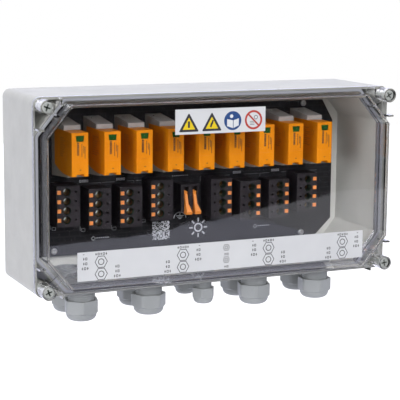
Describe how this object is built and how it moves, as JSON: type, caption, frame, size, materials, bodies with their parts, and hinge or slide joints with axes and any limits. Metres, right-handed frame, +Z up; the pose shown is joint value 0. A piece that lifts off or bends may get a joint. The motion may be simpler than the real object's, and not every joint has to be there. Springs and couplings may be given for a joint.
{
  "type": "dc combiner box",
  "caption": "Wall-mounted grey box with a clear screwed lid over plug-in surge arresters, push-in terminals on a circuit board and cable glands below.",
  "frame": {"origin": "middle of the flat back face, midway between the four wall-fixing holes", "axes": "+X to the right along the box, +Z up, the lid faces -Y and the cable glands point to -Z"},
  "size_m": [0.4, 0.1256, 0.2364],
  "materials": {
    "housing_grey": "satin",
    "clear_lid": "gloss",
    "gasket": "matte",
    "label_film": "satin",
    "lid_screw_plastic": "satin",
    "board_laminate": "satin",
    "screw_steel": "brushed",
    "arrester_base_plastic": "matte",
    "module_orange": "satin",
    "button_orange": "satin",
    "terminal_plastic": "matte",
    "contact_brass": "satin",
    "label_print": "matte",
    "sign_yellow": "satin",
    "sign_blue": "satin",
    "sign_red": "satin",
    "silkscreen": "matte",
    "status_green": "gloss",
    "gland_plastic": "satin"
  },
  "bodies": {
    "enclosure": {"enclosure_base": "housing_grey", "circuit_board": "board_laminate", "board_screws": "screw_steel", "arrester_bases": "arrester_base_plastic", "terminal_housings": "terminal_plastic", "terminal_contacts": "contact_brass", "gland_bodies": "gland_plastic", "gland_nuts": "gland_plastic", "gland_seals": "gasket", "gland_locknuts": "gland_plastic"},
    "lid": {"enclosure_lid": "clear_lid", "lid_gasket": "gasket", "lid_labels": "label_film"},
    "lid_screw_upper_left": {"lid_screw_upper_left": "lid_screw_plastic"},
    "lid_screw_lower_left": {"lid_screw_lower_left": "lid_screw_plastic"},
    "lid_screw_upper_right": {"lid_screw_upper_right": "lid_screw_plastic"},
    "lid_screw_lower_right": {"lid_screw_lower_right": "lid_screw_plastic"},
    "arrester_module_1": {"arrester_module_1": "module_orange"},
    "arrester_module_2": {"arrester_module_2": "module_orange"},
    "arrester_module_3": {"arrester_module_3": "module_orange"},
    "arrester_module_4": {"arrester_module_4": "module_orange"},
    "arrester_module_5": {"arrester_module_5": "module_orange"},
    "arrester_module_6": {"arrester_module_6": "module_orange"},
    "arrester_module_7": {"arrester_module_7": "module_orange"},
    "arrester_module_8": {"arrester_module_8": "module_orange"},
    "arrester_module_9": {"arrester_module_9": "module_orange"},
    "terminal_button_1_1": {"terminal_button_1_1": "button_orange"},
    "terminal_button_1_2": {"terminal_button_1_2": "button_orange"},
    "terminal_button_1_3": {"terminal_button_1_3": "button_orange"},
    "terminal_button_1_4": {"terminal_button_1_4": "button_orange"},
    "terminal_button_2_1": {"terminal_button_2_1": "button_orange"},
    "terminal_button_2_2": {"terminal_button_2_2": "button_orange"},
    "terminal_button_2_3": {"terminal_button_2_3": "button_orange"},
    "terminal_button_2_4": {"terminal_button_2_4": "button_orange"},
    "terminal_button_3_1": {"terminal_button_3_1": "button_orange"},
    "terminal_button_3_2": {"terminal_button_3_2": "button_orange"},
    "terminal_button_3_3": {"terminal_button_3_3": "button_orange"},
    "terminal_button_3_4": {"terminal_button_3_4": "button_orange"},
    "terminal_button_4_1": {"terminal_button_4_1": "button_orange"},
    "terminal_button_4_2": {"terminal_button_4_2": "button_orange"},
    "terminal_button_4_3": {"terminal_button_4_3": "button_orange"},
    "terminal_button_4_4": {"terminal_button_4_4": "button_orange"},
    "terminal_button_5_1": {"terminal_button_5_1": "button_orange"},
    "terminal_button_5_2": {"terminal_button_5_2": "button_orange"},
    "terminal_button_5_3": {"terminal_button_5_3": "button_orange"},
    "terminal_button_5_4": {"terminal_button_5_4": "button_orange"},
    "terminal_button_6_1": {"terminal_button_6_1": "button_orange"},
    "terminal_button_6_2": {"terminal_button_6_2": "button_orange"},
    "terminal_button_6_3": {"terminal_button_6_3": "button_orange"},
    "terminal_button_6_4": {"terminal_button_6_4": "button_orange"},
    "terminal_button_7_1": {"terminal_button_7_1": "button_orange"},
    "terminal_button_7_2": {"terminal_button_7_2": "button_orange"},
    "terminal_button_7_3": {"terminal_button_7_3": "button_orange"},
    "terminal_button_7_4": {"terminal_button_7_4": "button_orange"},
    "terminal_button_8_1": {"terminal_button_8_1": "button_orange"},
    "terminal_button_8_2": {"terminal_button_8_2": "button_orange"},
    "terminal_button_8_3": {"terminal_button_8_3": "button_orange"},
    "terminal_button_8_4": {"terminal_button_8_4": "button_orange"},
    "terminal_lever_left": {"terminal_lever_left": "button_orange"},
    "terminal_lever_right": {"terminal_lever_right": "button_orange"}
  },
  "joints": [
    {"name": "lid_lift_off", "type": "slide", "parent": "enclosure", "child": "lid", "axis": [0, -1, 0], "range_m": [0, 0.12]},
    {"name": "lid_screw_upper_left_turn", "type": "hinge", "parent": "lid", "child": "lid_screw_upper_left", "pos_m": [-0.1915, -0.1, 0.0915], "axis": [0, -1, 0], "continuous": true},
    {"name": "lid_screw_lower_left_turn", "type": "hinge", "parent": "lid", "child": "lid_screw_lower_left", "pos_m": [-0.1915, -0.1, -0.0915], "axis": [0, -1, 0], "continuous": true},
    {"name": "lid_screw_upper_right_turn", "type": "hinge", "parent": "lid", "child": "lid_screw_upper_right", "pos_m": [0.1915, -0.1, 0.0915], "axis": [0, -1, 0], "continuous": true},
    {"name": "lid_screw_lower_right_turn", "type": "hinge", "parent": "lid", "child": "lid_screw_lower_right", "pos_m": [0.1915, -0.1, -0.0915], "axis": [0, -1, 0], "continuous": true},
    {"name": "arrester_module_1_pull", "type": "slide", "parent": "enclosure", "child": "arrester_module_1", "axis": [0, -1, 0], "range_m": [0, 0.032]},
    {"name": "arrester_module_2_pull", "type": "slide", "parent": "enclosure", "child": "arrester_module_2", "axis": [0, -1, 0], "range_m": [0, 0.032]},
    {"name": "arrester_module_3_pull", "type": "slide", "parent": "enclosure", "child": "arrester_module_3", "axis": [0, -1, 0], "range_m": [0, 0.032]},
    {"name": "arrester_module_4_pull", "type": "slide", "parent": "enclosure", "child": "arrester_module_4", "axis": [0, -1, 0], "range_m": [0, 0.032]},
    {"name": "arrester_module_5_pull", "type": "slide", "parent": "enclosure", "child": "arrester_module_5", "axis": [0, -1, 0], "range_m": [0, 0.032]},
    {"name": "arrester_module_6_pull", "type": "slide", "parent": "enclosure", "child": "arrester_module_6", "axis": [0, -1, 0], "range_m": [0, 0.032]},
    {"name": "arrester_module_7_pull", "type": "slide", "parent": "enclosure", "child": "arrester_module_7", "axis": [0, -1, 0], "range_m": [0, 0.032]},
    {"name": "arrester_module_8_pull", "type": "slide", "parent": "enclosure", "child": "arrester_module_8", "axis": [0, -1, 0], "range_m": [0, 0.032]},
    {"name": "arrester_module_9_pull", "type": "slide", "parent": "enclosure", "child": "arrester_module_9", "axis": [0, -1, 0], "range_m": [0, 0.032]},
    {"name": "terminal_button_1_1_press", "type": "slide", "parent": "enclosure", "child": "terminal_button_1_1", "axis": [0, 1, 0], "range_m": [0, 0.0014], "stiffness_N_per_m": 1500, "springref_m": -0.002},
    {"name": "terminal_button_1_2_press", "type": "slide", "parent": "enclosure", "child": "terminal_button_1_2", "axis": [0, 1, 0], "range_m": [0, 0.0014], "stiffness_N_per_m": 1500, "springref_m": -0.002},
    {"name": "terminal_button_1_3_press", "type": "slide", "parent": "enclosure", "child": "terminal_button_1_3", "axis": [0, 1, 0], "range_m": [0, 0.0014], "stiffness_N_per_m": 1500, "springref_m": -0.002},
    {"name": "terminal_button_1_4_press", "type": "slide", "parent": "enclosure", "child": "terminal_button_1_4", "axis": [0, 1, 0], "range_m": [0, 0.0014], "stiffness_N_per_m": 1500, "springref_m": -0.002},
    {"name": "terminal_button_2_1_press", "type": "slide", "parent": "enclosure", "child": "terminal_button_2_1", "axis": [0, 1, 0], "range_m": [0, 0.0014], "stiffness_N_per_m": 1500, "springref_m": -0.002},
    {"name": "terminal_button_2_2_press", "type": "slide", "parent": "enclosure", "child": "terminal_button_2_2", "axis": [0, 1, 0], "range_m": [0, 0.0014], "stiffness_N_per_m": 1500, "springref_m": -0.002},
    {"name": "terminal_button_2_3_press", "type": "slide", "parent": "enclosure", "child": "terminal_button_2_3", "axis": [0, 1, 0], "range_m": [0, 0.0014], "stiffness_N_per_m": 1500, "springref_m": -0.002},
    {"name": "terminal_button_2_4_press", "type": "slide", "parent": "enclosure", "child": "terminal_button_2_4", "axis": [0, 1, 0], "range_m": [0, 0.0014], "stiffness_N_per_m": 1500, "springref_m": -0.002},
    {"name": "terminal_button_3_1_press", "type": "slide", "parent": "enclosure", "child": "terminal_button_3_1", "axis": [0, 1, 0], "range_m": [0, 0.0014], "stiffness_N_per_m": 1500, "springref_m": -0.002},
    {"name": "terminal_button_3_2_press", "type": "slide", "parent": "enclosure", "child": "terminal_button_3_2", "axis": [0, 1, 0], "range_m": [0, 0.0014], "stiffness_N_per_m": 1500, "springref_m": -0.002},
    {"name": "terminal_button_3_3_press", "type": "slide", "parent": "enclosure", "child": "terminal_button_3_3", "axis": [0, 1, 0], "range_m": [0, 0.0014], "stiffness_N_per_m": 1500, "springref_m": -0.002},
    {"name": "terminal_button_3_4_press", "type": "slide", "parent": "enclosure", "child": "terminal_button_3_4", "axis": [0, 1, 0], "range_m": [0, 0.0014], "stiffness_N_per_m": 1500, "springref_m": -0.002},
    {"name": "terminal_button_4_1_press", "type": "slide", "parent": "enclosure", "child": "terminal_button_4_1", "axis": [0, 1, 0], "range_m": [0, 0.0014], "stiffness_N_per_m": 1500, "springref_m": -0.002},
    {"name": "terminal_button_4_2_press", "type": "slide", "parent": "enclosure", "child": "terminal_button_4_2", "axis": [0, 1, 0], "range_m": [0, 0.0014], "stiffness_N_per_m": 1500, "springref_m": -0.002},
    {"name": "terminal_button_4_3_press", "type": "slide", "parent": "enclosure", "child": "terminal_button_4_3", "axis": [0, 1, 0], "range_m": [0, 0.0014], "stiffness_N_per_m": 1500, "springref_m": -0.002},
    {"name": "terminal_button_4_4_press", "type": "slide", "parent": "enclosure", "child": "terminal_button_4_4", "axis": [0, 1, 0], "range_m": [0, 0.0014], "stiffness_N_per_m": 1500, "springref_m": -0.002},
    {"name": "terminal_button_5_1_press", "type": "slide", "parent": "enclosure", "child": "terminal_button_5_1", "axis": [0, 1, 0], "range_m": [0, 0.0014], "stiffness_N_per_m": 1500, "springref_m": -0.002},
    {"name": "terminal_button_5_2_press", "type": "slide", "parent": "enclosure", "child": "terminal_button_5_2", "axis": [0, 1, 0], "range_m": [0, 0.0014], "stiffness_N_per_m": 1500, "springref_m": -0.002},
    {"name": "terminal_button_5_3_press", "type": "slide", "parent": "enclosure", "child": "terminal_button_5_3", "axis": [0, 1, 0], "range_m": [0, 0.0014], "stiffness_N_per_m": 1500, "springref_m": -0.002},
    {"name": "terminal_button_5_4_press", "type": "slide", "parent": "enclosure", "child": "terminal_button_5_4", "axis": [0, 1, 0], "range_m": [0, 0.0014], "stiffness_N_per_m": 1500, "springref_m": -0.002},
    {"name": "terminal_button_6_1_press", "type": "slide", "parent": "enclosure", "child": "terminal_button_6_1", "axis": [0, 1, 0], "range_m": [0, 0.0014], "stiffness_N_per_m": 1500, "springref_m": -0.002},
    {"name": "terminal_button_6_2_press", "type": "slide", "parent": "enclosure", "child": "terminal_button_6_2", "axis": [0, 1, 0], "range_m": [0, 0.0014], "stiffness_N_per_m": 1500, "springref_m": -0.002},
    {"name": "terminal_button_6_3_press", "type": "slide", "parent": "enclosure", "child": "terminal_button_6_3", "axis": [0, 1, 0], "range_m": [0, 0.0014], "stiffness_N_per_m": 1500, "springref_m": -0.002},
    {"name": "terminal_button_6_4_press", "type": "slide", "parent": "enclosure", "child": "terminal_button_6_4", "axis": [0, 1, 0], "range_m": [0, 0.0014], "stiffness_N_per_m": 1500, "springref_m": -0.002},
    {"name": "terminal_button_7_1_press", "type": "slide", "parent": "enclosure", "child": "terminal_button_7_1", "axis": [0, 1, 0], "range_m": [0, 0.0014], "stiffness_N_per_m": 1500, "springref_m": -0.002},
    {"name": "terminal_button_7_2_press", "type": "slide", "parent": "enclosure", "child": "terminal_button_7_2", "axis": [0, 1, 0], "range_m": [0, 0.0014], "stiffness_N_per_m": 1500, "springref_m": -0.002},
    {"name": "terminal_button_7_3_press", "type": "slide", "parent": "enclosure", "child": "terminal_button_7_3", "axis": [0, 1, 0], "range_m": [0, 0.0014], "stiffness_N_per_m": 1500, "springref_m": -0.002},
    {"name": "terminal_button_7_4_press", "type": "slide", "parent": "enclosure", "child": "terminal_button_7_4", "axis": [0, 1, 0], "range_m": [0, 0.0014], "stiffness_N_per_m": 1500, "springref_m": -0.002},
    {"name": "terminal_button_8_1_press", "type": "slide", "parent": "enclosure", "child": "terminal_button_8_1", "axis": [0, 1, 0], "range_m": [0, 0.0014], "stiffness_N_per_m": 1500, "springref_m": -0.002},
    {"name": "terminal_button_8_2_press", "type": "slide", "parent": "enclosure", "child": "terminal_button_8_2", "axis": [0, 1, 0], "range_m": [0, 0.0014], "stiffness_N_per_m": 1500, "springref_m": -0.002},
    {"name": "terminal_button_8_3_press", "type": "slide", "parent": "enclosure", "child": "terminal_button_8_3", "axis": [0, 1, 0], "range_m": [0, 0.0014], "stiffness_N_per_m": 1500, "springref_m": -0.002},
    {"name": "terminal_button_8_4_press", "type": "slide", "parent": "enclosure", "child": "terminal_button_8_4", "axis": [0, 1, 0], "range_m": [0, 0.0014], "stiffness_N_per_m": 1500, "springref_m": -0.002},
    {"name": "terminal_lever_left_lift", "type": "hinge", "parent": "enclosure", "child": "terminal_lever_left", "pos_m": [-0.0052, -0.025, -0.017], "axis": [-1, 0, 0], "range_deg": [0, 80]},
    {"name": "terminal_lever_right_lift", "type": "hinge", "parent": "enclosure", "child": "terminal_lever_right", "pos_m": [0.0052, -0.025, -0.017], "axis": [-1, 0, 0], "range_deg": [0, 80]}
  ]
}
